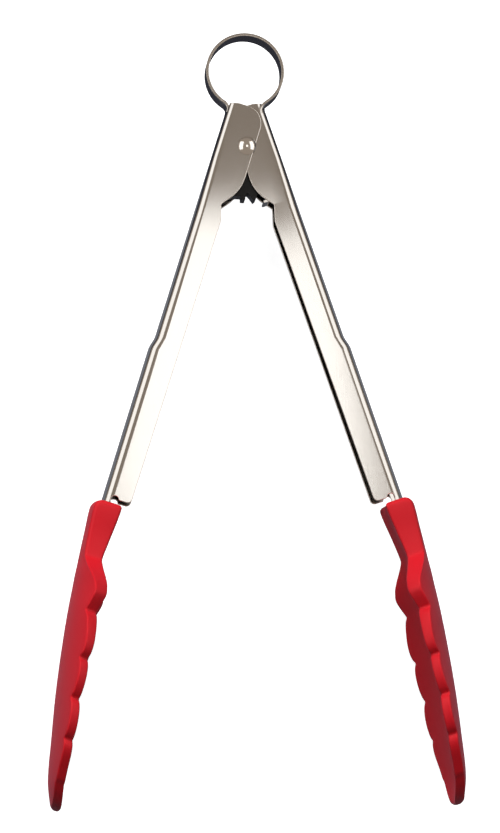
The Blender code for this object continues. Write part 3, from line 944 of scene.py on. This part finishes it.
# ---- Blades ----------------------------------------------------------------------------
# Inside each head a blanked steel blade gives the scoop its shape. Two rivets hold it in
# the arm's tongue, and the silicone covers both.
def blanked_steel():
    """Cold rolled blank, not brushed because nobody sees it: an even dull grey."""
    material, tree, shader = new_material("blanked_stainless")
    place = add_node(tree, "ShaderNodeTexCoord")
    mill = add_node(
        tree, "ShaderNodeTexNoise", {"Scale": 400.0}, {"Vector": place.outputs["Object"]}
    )
    dull = add_node(
        tree,
        "ShaderNodeMapRange",
        {"To Min": 0.3, "To Max": 0.42},
        {"Value": mill.outputs["Fac"]},
    )
    shader.inputs["Base Color"].default_value = linear("#b5b2ad")
    shader.inputs["Metallic"].default_value = 1.0
    tree.links.new(dull.outputs["Result"], shader.inputs["Roughness"])
    return material


blank = blanked_steel()
for name in SIDES:
    frame["nodes"][f"{name}_blade"].material_slots[0].material = blank
    for which in ("upper", "lower"):
        frame["nodes"][f"{name}_blade_rivet_{which}"].material_slots[0].material = polished


# ---- Stage -----------------------------------------------------------------------------
# A floor that is white to the camera only, two cards overhead that the flanges mirror, and
# a softbox on either side that lights what is glossy. A key beyond the ring and a fill above
# light what is matt, and neither is seen in reflections.
def soft_light(name, place, target, size, radiance, in_gloss=True, in_diffuse=True):
    """A softbox of a given brightness, where 1 turns a white card at its side white."""
    lamp = bpy.data.lights.new(name, "AREA")
    lamp.shape = "RECTANGLE"
    lamp.size, lamp.size_y = size
    lamp.energy = radiance * math.pi * size[0] * size[1]
    light = bpy.data.objects.new(name, lamp)
    bpy.context.scene.collection.objects.link(light)
    light.location = pivot + Vector(place)
    light.rotation_euler = (Vector(target) - Vector(place)).to_track_quat("-Z", "Y").to_euler()
    light.visible_glossy = in_gloss
    light.visible_diffuse = in_diffuse
    return light


def pale_floor():
    """White and partly self-lit to the camera, which hides most of the shadow. Every other
    ray meets a grey floor with a painted shadow, darker near the ring. A real floor would not be
    both."""
    material, tree, shader = new_material("matt_white_floor")
    shader.inputs["Base Color"].default_value = linear("#fafafa")
    shader.inputs["Roughness"].default_value = 0.9
    shader.inputs["Specular IOR Level"].default_value = 0.0
    shader.inputs["Emission Color"].default_value = (1.0, 1.0, 1.0, 1.0)
    shader.inputs["Emission Strength"].default_value = 0.75
    seen = add_node(tree, "ShaderNodeLightPath")
    place = add_node(tree, "ShaderNodeTexCoord")
    along_y = add_node(tree, "ShaderNodeSeparateXYZ", (), {"Vector": place.outputs["Object"]})
    # painted shadow: the grey that the steel mirrors goes darker towards and under the ring
    painted_shadow_under_ring = add_node(
        tree,
        "ShaderNodeMapRange",
        {"From Min": pivot.y - 0.004, "From Max": pivot.y + 0.012},
        {"Value": along_y.outputs["Y"]},
    )
    grey = add_node(tree, "ShaderNodeMix", {"data_type": "RGBA"}, {"Factor": painted_shadow_under_ring.outputs[0]})
    grey.inputs["A"].default_value = linear("#8a8d96")
    grey.inputs["B"].default_value = linear("#34363f")
    dark = add_node(tree, "ShaderNodeBsdfDiffuse", (), {"Color": grey.outputs["Result"]})
    mixed = add_node(
        tree,
        "ShaderNodeMixShader",
        (),
        {0: seen.outputs["Is Camera Ray"], 1: dark.outputs[0], 2: shader.outputs[0]},
    )
    tree.links.new(mixed.outputs[0], tree.nodes["Material Output"].inputs["Surface"])
    return material


floor_mesh = bpy.data.meshes.new("floor")
floor_mesh.from_pydata([(-3, -3, 0), (3, -3, 0), (3, 3, 0), (-3, 3, 0)], [], [(0, 1, 2, 3)])
new_piece("floor", floor_mesh, pale_floor())

soft_light("overhead_card", (0.030, 0.007, 0.5), (0.030, 0.007, 0), (0.118, 0.150), 1.7)
soft_light("overhead_dim_card", (0.112, -0.01, 0.5), (0.112, -0.01, 0), (0.042, 0.12), 0.5)
soft_light("left_softbox", (-0.58, 0.12, 0.42), (0, 0, 0), (1.0, 0.5), 1.35, in_diffuse=False)
soft_light("right_softbox", (0.58, 0.12, 0.42), (0, 0, 0), (1.0, 0.5), 1.35, in_diffuse=False)
soft_light("far_key", (-0.4, 0.8, 0.7), (0, -0.1, 0), (1.2, 0.7), 6.2, in_gloss=False)
soft_light("near_fill", (0.2, 0.25, 1.2), (0, -0.1, 0), (0.8, 0.8), 3.6, in_gloss=False)

world = bpy.data.worlds.new("studio")
world.use_nodes = True
world.node_tree.nodes["Background"].inputs["Color"].default_value = (0.36, 0.30, 0.25, 1.0)
world.node_tree.nodes["Background"].inputs["Strength"].default_value = 1.0
world.cycles_visibility.diffuse = False
bpy.context.scene.world = world
bpy.context.scene.view_settings.view_transform = "Standard"

CAMERA_TURN = Matrix.Rotation(math.radians(-0.15), 3, "Z")
CAMERA_PLACE = CAMERA_TURN @ Vector((-0.0834, -0.2279, 1.0364))
CAMERA_LOOK = CAMERA_TURN @ Vector((0.0795, 0.1391, -0.9871)).normalized()
CAMERA_UP = CAMERA_TURN @ Vector((0.0045, 0.9902, 0.1399))
FOCAL_LENGTH = 3500 / 833  # in heights of the picture
lens = bpy.data.cameras.new("camera")
lens.sensor_width = 36.0
lens.lens = FOCAL_LENGTH * lens.sensor_width
lens.clip_start = 0.05
camera = bpy.data.objects.new("camera", lens)
bpy.context.scene.collection.objects.link(camera)
right = CAMERA_LOOK.cross(CAMERA_UP).normalized()
up = right.cross(CAMERA_LOOK)
aim = Matrix((right, up, -CAMERA_LOOK)).transposed().to_4x4()
camera.matrix_world = Matrix.Translation(pivot + CAMERA_PLACE) @ aim
bpy.context.scene.camera = camera
